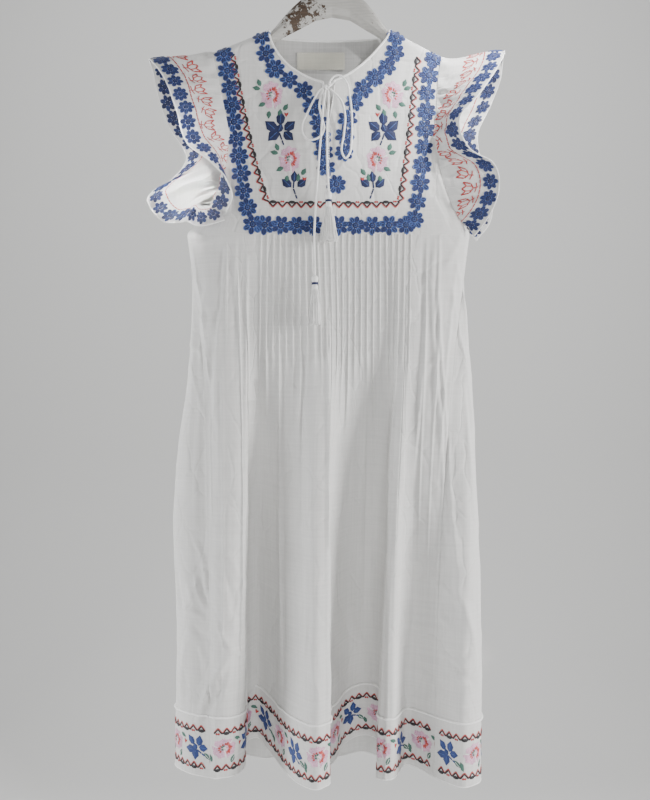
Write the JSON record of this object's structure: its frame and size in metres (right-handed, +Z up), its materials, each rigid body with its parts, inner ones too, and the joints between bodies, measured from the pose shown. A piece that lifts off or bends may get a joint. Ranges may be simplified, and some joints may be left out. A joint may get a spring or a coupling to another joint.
{
  "type": "peasant dress on hanger",
  "caption": "White cotton peasant dress with an embroidered yoke, fluttering sleeves, tasselled neck tie and a deep patterned hem, hanging on a painted wooden hanger.",
  "frame": {"origin": "inside top of the hanger's hook, where a rod would carry it", "axes": "+Z up, -Y out of the front of the dress, +X to the right as the front is looked at"},
  "size_m": [0.5203, 0.161, 1.2078],
  "materials": {
    "cotton": "matte",
    "binding": "matte",
    "label": "matte",
    "cord": "matte",
    "thread": "satin",
    "paint": "satin",
    "wire": "satin"
  },
  "bodies": {
    "root": {"front_yoke": "cotton", "front_panel": "cotton", "back_panel": "cotton", "front_hem_band": "cotton", "back_hem_band": "cotton", "sleeve_left": "cotton", "sleeve_right": "cotton", "neck_binding": "binding", "neck_label": "label", "bow_loop_left": "cord", "bow_loop_right": "cord", "tie_knot": "cord", "tie_end_short": "cord", "tie_end_long": "cord", "tassel_short": "cord", "tassel_long": "cord", "tassel_short_wrap": "thread", "tassel_long_wrap": "thread", "hanger_body": "paint", "hanger_hook": "wire"}
  },
  "joints": []
}
